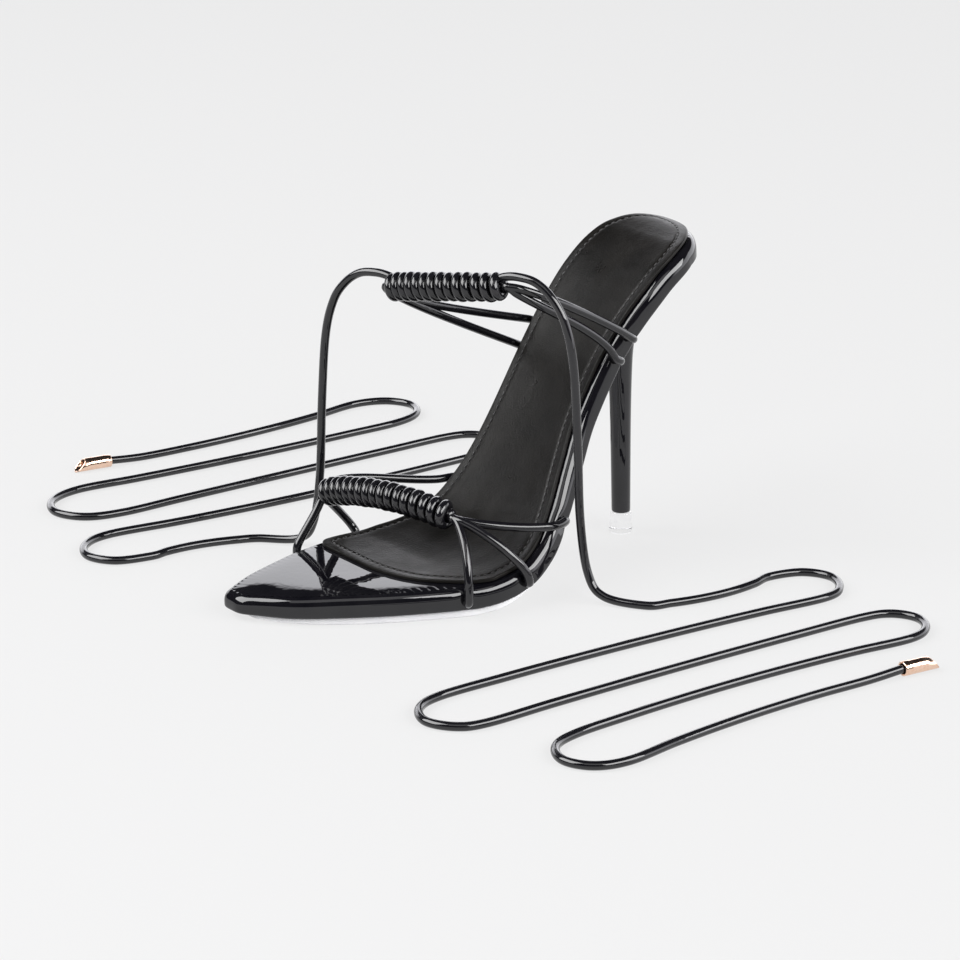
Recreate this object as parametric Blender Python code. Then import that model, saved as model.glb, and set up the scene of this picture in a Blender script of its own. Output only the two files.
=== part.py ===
"""Lace-up stiletto sandal, left shoe, standing on its forefoot and heel.

The toe points to -Y, the lateral side is +X, +Z is up and the floor is Z = 0,
with the origin under the middle of the shoe. Lengths are in metres. Stations
along the shoe are shares of SHOE_LENGTH from the back of the seat, and tables
hold their widths and heights as shares of named sizes.
"""
import math

import bmesh
import bpy
import numpy as np
from mathutils import Matrix, Vector

# Driving sizes
SHOE_LENGTH = 0.1975
BALL_WIDTH = 0.0756
SEAT_RISE = 0.1065
CLEARANCE = 0.0003

PLATFORM_THICKNESS = 0.0086
OUTSOLE_THICKNESS = 0.0026
OUTSOLE_INSET = 0.0004
OUTSOLE_BEVEL = 0.0007
SOCK_THICKNESS = 0.0012
SOCK_INSET = 0.0033
SOCK_BEVEL = 0.0004
EDGE_ROUND = 0.0026
EDGE_DROP = 0.0044
UNDER_ROUND = 0.0012
SEAT_SKEW = 0.0060

HEEL_SETBACK = 0.02844
HEEL_LEAN = 0.0022
HEEL_TOP_HALF = 0.0170
HEEL_TOP_BACK = 0.0270
HEEL_TOP_FRONT = 0.0140
HEEL_BASE_RADIUS = 0.0036
HEEL_TIP_HEIGHT = 0.0080
HEEL_TIP_RADIUS = 0.0045
HEEL_TIP_TOP = 0.0039
HEEL_TIP_BEVEL = 0.0005

CORD_RADIUS = 0.0016
LEG_GAP = 0.00036
TUCK_DEPTH = 0.0024
WRAP_RADIUS = 0.0055
WRAP_VALLEY = 0.0050
WRAP_END = 0.0042
WRAP_PITCH = 0.0036
TOE_WRAP_HEIGHT = 0.0237
INSTEP_WRAP_HEIGHT = 0.0966
LEG_START = 0.0027
CORE_END = 0.0042
TIE_START = 0.0009

TIP_RADIUS = 0.0026
TIP_LENGTH = 0.0155
TIP_SHORT_SIDE = 0.0108
TIP_GRIP = 0.0070
FLOOR_GAP = 0.0002

# Centre line of each wrap, at its medial end, crown and lateral end: station, distance from the
# middle as a share of BALL_WIDTH, and height over the platform as a share of the wrap's height
TOE_WRAP_ROWS = ((0.709, -0.477, 0.80), (0.678, -0.125, 1.00), (0.642, 0.258, 0.93))
INSTEP_WRAP_ROWS = ((0.602, -0.315, 0.990), (0.557, -0.044, 1.000), (0.510, 0.230, 0.984))

# Height of the platform's top along the shoe: station, share of SEAT_RISE above the forefoot
RISE_ROWS = (
    (0.00, 0.990), (0.05, 1.000), (0.10, 0.984), (0.15, 0.940), (0.20, 0.864), (0.25, 0.757),
    (0.30, 0.626), (0.35, 0.478), (0.40, 0.324), (0.45, 0.182), (0.50, 0.084), (0.55, 0.034),
    (0.60, 0.011), (0.65, 0.000), (0.84, 0.000), (0.92, -0.001), (1.00, -0.008),
)
# Thickness of the platform, square to its top: station, share of PLATFORM_THICKNESS
THICKNESS_ROWS = (
    (0.00, 0.86), (0.28, 0.88), (0.48, 0.94), (0.63, 1.00), (0.85, 1.00), (0.94, 0.98), (1.00, 0.90),
)
# Thickness of the outsole: station, share of OUTSOLE_THICKNESS
SOLE_ROWS = (
    (0.20, 0.45), (0.50, 0.50), (0.61, 0.98), (0.65, 1.00), (0.84, 1.00), (0.94, 0.66), (1.00, 0.40),
)
# Share of the outsole's thickness that stands upright, over its bevelled lower edge
SOLE_WALL = 0.75
# Plan outline, from the end of the seat's round back to the tip, whose last two rows are its blunt
# end: station, lateral and medial distance from the middle as shares of BALL_WIDTH
OUTLINE_ROWS = (
    (0.160, 0.378, 0.317), (0.200, 0.376, 0.320), (0.250, 0.353, 0.319), (0.300, 0.339, 0.317),
    (0.350, 0.344, 0.316), (0.400, 0.392, 0.325), (0.450, 0.454, 0.357), (0.500, 0.513, 0.394),
    (0.550, 0.540, 0.433), (0.600, 0.529, 0.474), (0.650, 0.481, 0.499), (0.700, 0.423, 0.504),
    (0.780, 0.320, 0.480), (0.860, 0.193, 0.423), (0.940, 0.038, 0.359), (0.985, -0.112, 0.309),
    (0.995, -0.146, 0.298), (1.000, -0.172, 0.275),
)
STATIONS_ROUND_SEAT = 8
STATIONS_ALONG = 32
EDGE_STEPS = 3
WRAP_STEPS = 8
LEG_STEPS = 8
# The sock's front edge: station, lateral and medial distance as shares of BALL_WIDTH
SOCK_FRONT_ROWS = (
    (0.605, 0.495, 0.437), (0.632, 0.447, 0.446), (0.678, 0.341, 0.458), (0.702, 0.272, 0.463),
    (0.720, 0.190, 0.462), (0.732, 0.100, 0.448), (0.741, -0.030, 0.395),
)

# Heel sections: drop from the seat as a share of the heel's height, then the share of the way from
# the radius at the tip to the size at the seat, for the half width, the back and the front, the
# squareness of the section, and how far it follows the slope of the platform over it
HEEL_ROWS = (
    (0.00, 1.00, 1.00, 1.00, 2.6, 1.00), (0.05, 0.63, 0.77, 0.79, 2.4, 0.77),
    (0.12, 0.31, 0.42, 0.52, 2.3, 0.45), (0.22, 0.12, 0.15, 0.29, 2.2, 0.00),
    (0.36, 0.05, 0.05, 0.14, 2.1, 0.00), (0.60, 0.02, 0.02, 0.05, 2.0, 0.00),
    (1.00, 0.00, 0.00, 0.00, 2.0, 0.00),
)
HEEL_SIDES = 20

# Strap legs: wrap end, side and station of the anchor, then the two handles of the curve between
# them in cord radii: at the wrap outward, back and up, and at the wall outward, back and up, and
# how the leg meets the wall, as in TUCK_STARTS
TOE_LEGS = (
    ("lateral", 1, 0.660, 2.5, 0.0, -0.5, 0.0, 0.0, 7.0, "over"),
    ("lateral", 1, 0.552, 4.5, 0.0, 1.0, 0.0, -2.0, 4.5, "over"),
    ("lateral", 1, 0.456, 4.0, 2.0, -0.5, 4.0, -6.0, -0.5, "along"),
    ("medial", -1, 0.773, 0.0, 0.0, -3.5, 0.0, 0.0, 2.0, "over"),
    ("medial", -1, 0.637, 1.5, 1.5, -2.0, 3.5, 0.0, 3.0, "over"),
    ("medial", -1, 0.458, 2.0, 4.0, 6.0, 2.0, -10.0, -1.0, "along"),
)
INSTEP_LEGS = (
    ("lateral", 1, 0.258, 5.0, 0.0, 0.0, 0.0, -8.0, 5.5, "over"),
    ("lateral", 1, 0.286, 3.6, 0.0, -3.5, 0.0, -4.2, 8.0, "over"),
    ("medial", -1, 0.278, 1.7, 2.0, -4.3, 0.0, -5.9, 1.9, "near"),
    ("medial", -1, 0.308, 1.5, 2.0, -3.0, 0.0, -8.0, 4.0, "near"),
)
# A leg's end beside the platform's wall: share of the wall's height down, and distance out as a
# share of the cord's own distance; then it turns into the wall at TUCK_SHARE of its height
TUCK_ROWS = ((0.14, 1.00), (0.36, 1.05), (0.56, 0.90), (0.64, 0.20))
TUCK_SHARE = 0.66
# The row of TUCK_ROWS at which a leg meets the wall: over the edge, near it, or along the wall
TUCK_STARTS = {"over": 0, "near": 1, "along": 2}

# Fall of a tie from its wrap to the floor: distance out along the wrap's own line as a share of
# SHOE_LENGTH, and height as a share of the height that it starts at
TIE_FALL_ROWS = (
    (0.000, 1.000), (0.028, 1.006), (0.064, 0.996), (0.096, 0.955), (0.122, 0.885), (0.140, 0.760),
    (0.150, 0.530), (0.157, 0.270), (0.174, 0.095), (0.208, 0.028),
)
# Lanes of a tie on the floor, each run turning into the next: distance to the side at its start,
# middle and end, and place along the shoe at its start and end, all as shares of SHOE_LENGTH
LANES_LATERAL = (
    (0.347, 0.388, 0.378, 0.122, 0.400), (0.520, 0.470, 0.446, 0.410, -0.425),
    (0.586, 0.602, 0.632, -0.435, 0.390), (0.758, 0.716, 0.712, 0.390, -0.345),
    (0.850, 0.835, 0.862, -0.345, 0.305),
)
LANES_MEDIAL = (
    (0.379, 0.420, 0.424, -0.236, -0.450), (0.574, 0.520, 0.504, -0.450, 0.410),
    (0.634, 0.650, 0.662, 0.410, -0.360), (0.830, 0.790, 0.772, -0.360, 0.390),
    (0.928, 0.905, 0.935, 0.390, -0.258),
)
LANE_STEPS = 6
TURN_STEPS = 4
TURN_REACH = 1.25
TIE_POINTS = 78


def new_material(name, colour, roughness, metallic=0.0, transmission=0.0):
    material = bpy.data.materials.new(name)
    material.use_nodes = True
    shader = material.node_tree.nodes["Principled BSDF"]
    shader.inputs["Base Color"].default_value = (*colour, 1.0)
    shader.inputs["Roughness"].default_value = roughness
    shader.inputs["Metallic"].default_value = metallic
    shader.inputs["Transmission Weight"].default_value = transmission
    material.diffuse_color = (*colour, 1.0)
    return material


def smooth_rows(rows, station, column):
    """Value of a table's column at a station, through a curve that keeps flat runs flat."""
    stations = np.array([row[0] for row in rows])
    values = np.array([row[column] for row in rows])
    steps = np.diff(stations)
    slopes = np.diff(values) / steps
    tangents = np.zeros(len(rows))
    for index in range(1, len(rows) - 1):
        before, after = slopes[index - 1], slopes[index]
        if before * after > 0:
            weight_a = 2 * steps[index] + steps[index - 1]
            weight_b = steps[index] + 2 * steps[index - 1]
            tangents[index] = (weight_a + weight_b) / (weight_a / before + weight_b / after)
    tangents[0], tangents[-1] = slopes[0], slopes[-1]
    station = min(max(station, stations[0]), stations[-1])
    index = min(int(np.searchsorted(stations, station, side="right")) - 1, len(rows) - 2)
    share = (station - stations[index]) / steps[index]
    start = (1 + 2 * share) * (1 - share) ** 2 * values[index]
    start += share * (1 - share) ** 2 * steps[index] * tangents[index]
    end = share ** 2 * (3 - 2 * share) * values[index + 1]
    end += share ** 2 * (share - 1) * steps[index] * tangents[index + 1]
    return float(start + end)


def along(station):
    """The place along Y of a station, which is a share of the length from the back of the seat."""
    return SHOE_LENGTH * (0.5 - station)


def station_at(y):
    return 0.5 - y / SHOE_LENGTH


def top_height(y):
    """Height of the platform's top at a place along the shoe."""
    forefoot = OUTSOLE_THICKNESS + CLEARANCE + PLATFORM_THICKNESS
    return forefoot + SEAT_RISE * smooth_rows(RISE_ROWS, station_at(y), 1)


def top_normal(y):
    """Unit normal of the platform's top, in the plane of the shoe's middle."""
    step = SHOE_LENGTH / 400
    slope = (top_height(y + step) - top_height(y - step)) / (2 * step)
    return Vector((0.0, -slope, 1.0)).normalized()


def platform_thickness(y):
    return PLATFORM_THICKNESS * smooth_rows(THICKNESS_ROWS, station_at(y), 1)


def outsole_thickness(y):
    return OUTSOLE_THICKNESS * smooth_rows(SOLE_ROWS, station_at(y), 1)


def half_width(station, side):
    """Distance from the middle to the outline on one side: 1 is lateral, -1 medial."""
    column = 1 if side > 0 else 2
    cap = OUTLINE_ROWS[0][0]
    width = BALL_WIDTH * smooth_rows(OUTLINE_ROWS, max(station, cap), column)
    return round_seat(width, station / cap, side)


def round_seat(width, share, side):
    """A half width drawn in round the back of the seat, whose end lies to the medial side."""
    if share >= 1.0:
        return width
    end = -side * SEAT_SKEW
    return end + (width - end) * math.sqrt(max(0.0, 1.0 - (1.0 - share) ** 2))


def outline_stations(first, last):
    """Stations from the back to the front, close together round the seat and at the toe."""
    cap, tip = OUTLINE_ROWS[0][0], OUTLINE_ROWS[-3][0]
    lead_in = 0.35
    stations = []
    if first < cap:
        for index in range(STATIONS_ROUND_SEAT):
            angle = 0.5 * math.pi * (index + lead_in) / STATIONS_ROUND_SEAT
            stations.append(first + (cap - first) * (1 - math.cos(angle)))
    else:
        stations.append(first)
    step = (tip - cap) / STATIONS_ALONG
    evenly = [cap + step * index for index in range(STATIONS_ALONG + 1)]
    blunt = [row[0] for row in OUTLINE_ROWS[-2:]]
    stations += [station for station in evenly + blunt if first + step / 3 < station < last + step / 3]
    return stations


def plan_loop(stations, lateral, medial):
    """Closed plan outline: the lateral side from back to front, then the medial side back."""
    loop = [Vector((lateral(station), along(station))) for station in stations]
    loop += [Vector((-medial(station), along(station))) for station in reversed(stations)]
    return loop


def inset_loop(loop, distance):
    """The same outline drawn in by a distance, square to its edge."""
    sharpest = 0.6
    count = len(loop)
    result = []
    for index, point in enumerate(loop):
        before = (point - loop[index - 1]).normalized()
        after = (loop[(index + 1) % count] - point).normalized()
        along = (before + after).normalized()
        spread = max(sharpest, math.sqrt(max(0.0, (1 + before.dot(after)) / 2)))
        result.append(point + Vector((along.y, -along.x)) * distance / spread)
    return result


def on_platform(point, depth):
    """A plan point carried onto the platform's top and sunk square to it."""
    place = Vector((point.x, point.y, top_height(point.y)))
    return place - top_normal(point.y) * depth


def under_point(x, y):
    """The point under the platform, a clearance below its underside, at a place in plan."""
    source = top_place_over(y)
    return on_platform(Vector((x, source)), platform_thickness(source) + CLEARANCE)


def top_place_over(y, extra=0.0):
    """Where on the platform's top the normal starts that comes out under it at a place in plan."""
    source = y
    for _ in range(16):
        depth = platform_thickness(source) + CLEARANCE + extra
        source += y - on_platform(Vector((0.0, source)), depth).y
    return source


def layered_solid(name, loop, rings, material):
    """A sheet that follows the platform: rings of (inset, depth function) from top to under."""
    mesh = bpy.data.meshes.new(name)
    body = bmesh.new()
    count = len(loop)
    layers = []
    for inset, depth in rings:
        layer = [body.verts.new(on_platform(point, depth(point.y))) for point in inset_loop(loop, inset)]
        layers.append(layer)
    for upper, lower in zip(layers, layers[1:]):
        for index in range(count):
            following = (index + 1) % count
            body.faces.new((upper[index], lower[index], lower[following], upper[following]))
    half = count // 2
    for index in range(half - 1):
        pair = count - 1 - index
        top, under = layers[0], layers[-1]
        body.faces.new((top[index], top[index + 1], top[pair - 1], top[pair]))
        body.faces.new((under[pair], under[pair - 1], under[index + 1], under[index]))
    bmesh.ops.recalc_face_normals(body, faces=body.faces)
    body.to_mesh(mesh)
    body.free()
    return add_mesh(name, mesh, material)


def add_mesh(name, mesh, material, smooth_angle=40.0):
    item = bpy.data.objects.new(name, mesh)
    sandal.objects.link(item)
    mesh.materials.clear()
    mesh.materials.append(material)
    mesh.shade_smooth()
    mesh.set_sharp_from_angle(angle=math.radians(smooth_angle))
    return item


def tube_mesh(name, points, radius, sides_level=2, widths=None):
    """Mesh of a round tube along points, with welded caps."""
    curve = bpy.data.curves.new(name, "CURVE")
    curve.dimensions = "3D"
    curve.bevel_depth = radius
    curve.bevel_resolution = sides_level
    curve.use_fill_caps = True
    spline = curve.splines.new("POLY")
    spline.points.add(len(points) - 1)
    for index, point in enumerate(points):
        spline.points[index].co = (*point, 1.0)
        spline.points[index].radius = widths[index] if widths else 1.0
    guide = bpy.data.objects.new(name + "_guide", curve)
    sandal.objects.link(guide)
    evaluated = guide.evaluated_get(bpy.context.evaluated_depsgraph_get())
    mesh = bpy.data.meshes.new_from_object(evaluated)
    mesh.name = name
    body = bmesh.new()
    body.from_mesh(mesh)
    bmesh.ops.remove_doubles(body, verts=body.verts, dist=0.000001)
    bmesh.ops.recalc_face_normals(body, faces=body.faces)
    body.to_mesh(mesh)
    body.free()
    bpy.data.objects.remove(guide)
    bpy.data.curves.remove(curve)
    return mesh


def cutter(name, mesh):
    item = bpy.data.objects.new(name, mesh)
    cutters.objects.link(item)
    item.hide_render = True
    item.display_type = "WIRE"
    return item


def join_with(item, other, operation):
    modifier = item.modifiers.new(other.name, "BOOLEAN")
    modifier.operation = operation
    modifier.solver = "EXACT"
    modifier.object = other


def bezier(points, count):
    """Points along a cubic curve from its four control points, both ends included."""
    start, first, second, end = points
    result = []
    for index in range(count + 1):
        share = index / count
        rest = 1.0 - share
        result.append(start * rest ** 3 + first * 3 * rest ** 2 * share
                      + second * 3 * rest * share ** 2 + end * share ** 3)
    return result


def smooth_route(route, count):
    """Evenly spaced points on the smooth curve through a route's own points."""
    knots = [Vector(point) for point in route]
    dense = []
    for index in range(len(knots) - 1):
        before = knots[max(index - 1, 0)]
        start, end = knots[index], knots[index + 1]
        after = knots[min(index + 2, len(knots) - 1)]
        for part in range(24):
            share = part / 24
            dense.append(0.5 * (2 * start + (end - before) * share
                                + (2 * before - 5 * start + 4 * end - after) * share ** 2
                                + (3 * start - before - 3 * end + after) * share ** 3))
    dense.append(knots[-1])
    lengths = [0.0]
    for before, after in zip(dense, dense[1:]):
        lengths.append(lengths[-1] + (after - before).length)
    result = []
    for index in range(count):
        target = lengths[-1] * index / (count - 1)
        place = min(int(np.searchsorted(lengths, target, side="right")) - 1, len(dense) - 2)
        share = (target - lengths[place]) / (lengths[place + 1] - lengths[place])
        result.append(dense[place].lerp(dense[place + 1], share))
    return result


def wrap_line(wrap, count):
    """Centre line of a wrap: an arch through its medial end, crown and lateral end."""
    rows, rise = wrap
    ends = []
    for station, across, share in rows:
        y = along(station)
        ends.append(Vector((across * BALL_WIDTH, y, top_height(y) + rise * share)))
    medial, crown, lateral = ends
    control = crown * 2 - (medial + lateral) / 2
    result = []
    for index in range(count + 1):
        share = index / count
        result.append(medial * (1 - share) ** 2 + control * 2 * share * (1 - share) + lateral * share ** 2)
    return result


def wrap_end(wrap, end_name):
    """The end of a wrap's centre line and the direction in which it points out of the wrap."""
    line = wrap_line(wrap, WRAP_STEPS)
    if end_name == "medial":
        line.reverse()
    return line[-1], (line[-1] - line[-2]).normalized()


def wall_point(side, station, depth_share, out):
    """A point beside the platform's wall, at a share of its thickness down, a distance out."""
    y = along(station)
    step = 0.004
    slope = (half_width(station + step, side) - half_width(station - step, side)) / (2 * step * SHOE_LENGTH)
    outward = Vector((side, slope)).normalized()
    edge = Vector((side * half_width(station, side), y)) + outward * out
    return on_platform(edge, depth_share * platform_thickness(edge.y))


def tuck_points(side, station, depth, meets="over"):
    """The end of a strap leg: down the wall, then a depth into it."""
    beside = CORD_RADIUS + LEG_GAP
    path = [wall_point(side, station, down, beside * out) for down, out in TUCK_ROWS[TUCK_STARTS[meets]:]]
    return path + [wall_point(side, station, TUCK_SHARE, -depth)]


def leg_points(wrap, leg):
    """A strap leg from the end of its wrap to its tuck in the platform's wall."""
    end_name, side, station, out, back, up, wall_out, wall_back, wall_up, meets = leg
    end, outward = wrap_end(wrap, end_name)
    start = end + outward * LEG_START
    tuck = tuck_points(side, station, TUCK_DEPTH, meets)
    first = start + (outward * out + Vector((0.0, back, up))) * CORD_RADIUS
    second = tuck[0] + Vector((side * wall_out, wall_back, wall_up)) * CORD_RADIUS
    return bezier((start, first, second, tuck[0]), LEG_STEPS) + tuck[1:]


def make_platform(material):
    stations = outline_stations(0.0, 1.0)
    loop = plan_loop(stations, lambda s: half_width(s, 1), lambda s: half_width(s, -1))
    rings = []
    for index in range(EDGE_STEPS + 1):
        angle = 0.5 * math.pi * index / EDGE_STEPS
        drop = EDGE_DROP * (1 - math.cos(angle))
        rings.append((EDGE_ROUND * (1 - math.sin(angle)), lambda y, drop=drop: drop))
    corner = UNDER_ROUND * (1 - math.sqrt(0.5))
    rings += [
        (0.0, lambda y: platform_thickness(y) - UNDER_ROUND),
        (corner, lambda y: platform_thickness(y) - corner),
        (UNDER_ROUND, platform_thickness),
    ]
    platform = layered_solid("platform", loop, rings, material)
    for leg in TOE_LEGS + INSTEP_LEGS:
        path = tuck_points(leg[1], leg[2], TUCK_DEPTH + CLEARANCE)
        name = "tuck_%s_%d" % (leg[0], round(leg[2] * 1000))
        socket = cutter(name, tube_mesh(name, path, CORD_RADIUS + CLEARANCE, 3))
        join_with(platform, socket, "DIFFERENCE")
    return platform


def make_sock(material):
    first_front = SOCK_FRONT_ROWS[0][0]
    cap = OUTLINE_ROWS[0][0]
    back = SOCK_INSET / SHOE_LENGTH
    stations = [station for station in outline_stations(0.0, 1.0) if station < first_front - back]
    stations = [max(station, back + station * (1 - back / cap)) for station in stations]
    stations += [row[0] for row in SOCK_FRONT_ROWS]

    def width(side):
        column = 1 if side > 0 else 2

        def at(station):
            if station >= first_front:
                return BALL_WIDTH * smooth_rows(SOCK_FRONT_ROWS, station, column)
            full = half_width(max(station, cap), side) - SOCK_INSET
            return round_seat(full, (station - back) / (cap - back), side)
        return at

    loop = plan_loop(stations, width(1), width(-1))
    top = -CLEARANCE - SOCK_THICKNESS
    rings = ((SOCK_BEVEL, lambda y: top), (0.0, lambda y: top + SOCK_BEVEL), (0.0, lambda y: -CLEARANCE))
    return layered_solid("sock", loop, rings, material)


def make_outsole(material):
    breast = heel_place() - HEEL_TOP_FRONT - CLEARANCE
    first = station_at(top_place_over(breast, OUTSOLE_THICKNESS))
    stations = outline_stations(first, OUTLINE_ROWS[-3][0])
    inset = OUTSOLE_INSET + UNDER_ROUND
    loop = plan_loop(stations, lambda s: half_width(s, 1), lambda s: half_width(s, -1))
    rings = (
        (inset, lambda y: platform_thickness(y) + CLEARANCE),
        (inset, lambda y: platform_thickness(y) + CLEARANCE + outsole_thickness(y) * SOLE_WALL),
        (inset + OUTSOLE_BEVEL, lambda y: platform_thickness(y) + CLEARANCE + outsole_thickness(y)),
    )
    return layered_solid("outsole", loop, rings, material)


def heel_place():
    """The place of the heel's middle along Y."""
    return SHOE_LENGTH / 2 - HEEL_SETBACK


def make_heel(material):
    """The stiletto: sections that follow the platform at the seat and stand level lower down."""
    mesh = bpy.data.meshes.new("heel")
    body = bmesh.new()
    middle = heel_place()
    bottom = HEEL_TIP_HEIGHT + CLEARANCE
    level = under_point(0.0, middle).z
    rings = []
    for drop, half_share, back_share, front_share, power, follow in HEEL_ROWS:
        half = HEEL_BASE_RADIUS + (HEEL_TOP_HALF - HEEL_BASE_RADIUS) * half_share
        back = HEEL_BASE_RADIUS + (HEEL_TOP_BACK - HEEL_BASE_RADIUS) * back_share
        front = HEEL_BASE_RADIUS + (HEEL_TOP_FRONT - HEEL_BASE_RADIUS) * front_share
        lean = HEEL_LEAN * (1.0 - drop) * (1.0 - follow)
        ring = []
        for index in range(HEEL_SIDES):
            angle = 2 * math.pi * index / HEEL_SIDES
            across = math.copysign(abs(math.cos(angle)) ** (2 / power), math.cos(angle))
            behind = math.copysign(abs(math.sin(angle)) ** (2 / power), math.sin(angle))
            reach = back if behind > 0 else front
            under = under_point(half * across, middle + reach * behind)
            z = level + (bottom - level) * drop + (under.z - level) * follow
            ring.append(body.verts.new((under.x, middle + reach * behind - lean, z)))
        rings.append(ring)
    for upper, lower in zip(rings, rings[1:]):
        for index in range(HEEL_SIDES):
            following = (index + 1) % HEEL_SIDES
            body.faces.new((upper[index], lower[index], lower[following], upper[following]))
    body.faces.new(rings[-1])
    hub = body.verts.new(under_point(0.0, middle))
    for index in range(HEEL_SIDES):
        body.faces.new((rings[0][(index + 1) % HEEL_SIDES], rings[0][index], hub))
    bmesh.ops.recalc_face_normals(body, faces=body.faces)
    body.to_mesh(mesh)
    body.free()
    return add_mesh("heel", mesh, material, 50.0)


def make_heel_tip(material):
    mesh = bpy.data.meshes.new("heel_tip")
    body = bmesh.new()
    bmesh.ops.create_cone(body, cap_ends=True, segments=24, radius1=HEEL_TIP_RADIUS,
                          radius2=HEEL_TIP_TOP, depth=HEEL_TIP_HEIGHT)
    rim = [edge for edge in body.edges if edge.verts[0].co.z * edge.verts[1].co.z > 0]
    bmesh.ops.bevel(body, geom=rim, offset=HEEL_TIP_BEVEL, segments=2, affect="EDGES", profile=0.5)
    bmesh.ops.translate(body, verts=body.verts, vec=(0.0, heel_place(), HEEL_TIP_HEIGHT / 2))
    body.to_mesh(mesh)
    body.free()
    return add_mesh("heel_tip", mesh, material)


def make_strap_cords(name, wrap, legs, material):
    """The cords of one strap: a core through the wrap with legs to both sides, in one piece."""
    medial, medial_out = wrap_end(wrap, "medial")
    lateral, lateral_out = wrap_end(wrap, "lateral")
    core = [medial + medial_out * CORE_END] + wrap_line(wrap, WRAP_STEPS) + [lateral + lateral_out * CORE_END]
    cords = add_mesh(name, tube_mesh(name, core, CORD_RADIUS), material)
    for leg in legs:
        part_name = "%s_%s_%d" % (name, leg[0], round(leg[2] * 1000))
        part = cutter(part_name, tube_mesh(part_name, leg_points(wrap, leg), CORD_RADIUS))
        join_with(cords, part, "UNION")
    return cords


def make_wrap(name, wrap, material):
    """A sleeve of close turns with a bore for the strap's core."""
    per_turn = 3
    ends = wrap_line(wrap, 1)
    steps = per_turn * round((ends[1] - ends[0]).length / WRAP_PITCH)
    line = wrap_line(wrap, steps)
    widths = []
    for index in range(steps + 1):
        phase = math.cos(2 * math.pi * index / per_turn)
        valley = WRAP_VALLEY / WRAP_RADIUS
        widths.append(1.0 if phase < 0 else valley)
    widths[0] = widths[-1] = WRAP_END / WRAP_RADIUS
    sleeve = add_mesh(name, tube_mesh(name, line, WRAP_RADIUS, 3, widths), material)
    medial, medial_out = wrap_end(wrap, "medial")
    lateral, lateral_out = wrap_end(wrap, "lateral")
    core = [medial + medial_out * LEG_START] + wrap_line(wrap, WRAP_STEPS) + [lateral + lateral_out * LEG_START]
    bore = cutter(name + "_bore", tube_mesh(name + "_bore", core, CORD_RADIUS + CLEARANCE, 2))
    join_with(sleeve, bore, "DIFFERENCE")
    return sleeve


def tie_route(side, lanes):
    """Points of a tie from the instep wrap's end down to the floor and along its lanes."""
    end, outward = wrap_end(instep, "lateral" if side > 0 else "medial")
    start = end + outward * TIE_START + Vector((0.0, 0.0, 2 * (CORD_RADIUS + CLEARANCE)))
    outward = Vector((outward.x, outward.y, 0.0)).normalized()
    route = []
    for out, height in TIE_FALL_ROWS:
        place = start + outward * (out * SHOE_LENGTH)
        route.append(Vector((place.x, place.y, start.z * height)))
    floor = CORD_RADIUS + FLOOR_GAP
    for lane, following in zip(lanes, lanes[1:] + (None,)):
        first, middle, last, begin, finish = lane
        for index in range(LANE_STEPS):
            share = index / LANE_STEPS
            bend = 4 * share * (1 - share) * (middle - (first + last) / 2)
            across = first + (last - first) * share + bend
            route.append(Vector((side * across, begin + (finish - begin) * share, 0.0)) * SHOE_LENGTH)
            route[-1].z = floor
        if following:
            half = (following[0] - last) / 2
            reach = math.copysign(half * TURN_REACH, finish - begin)
            for index in range(TURN_STEPS):
                angle = math.pi * index / TURN_STEPS
                across = last + half * (1 - math.cos(angle))
                route.append(Vector((side * across, finish + reach * math.sin(angle), 0.0)) * SHOE_LENGTH)
                route[-1].z = floor
    end = Vector((side * last, finish, 0.0)) * SHOE_LENGTH
    end.z = TIP_RADIUS + FLOOR_GAP / 2
    slope = last - first - 4 * (middle - (first + last) / 2)
    direction = Vector((side * slope, finish - begin, 0.0)).normalized()
    return route + [end - direction * TIP_GRIP, end]


def make_tie(name, route, material):
    """A free tie; its last stretch is straight, inside the metal tip."""
    points = smooth_route(route[:-1], TIE_POINTS - 1) + [route[-1]]
    return add_mesh(name, tube_mesh(name, points, CORD_RADIUS), material)


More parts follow.
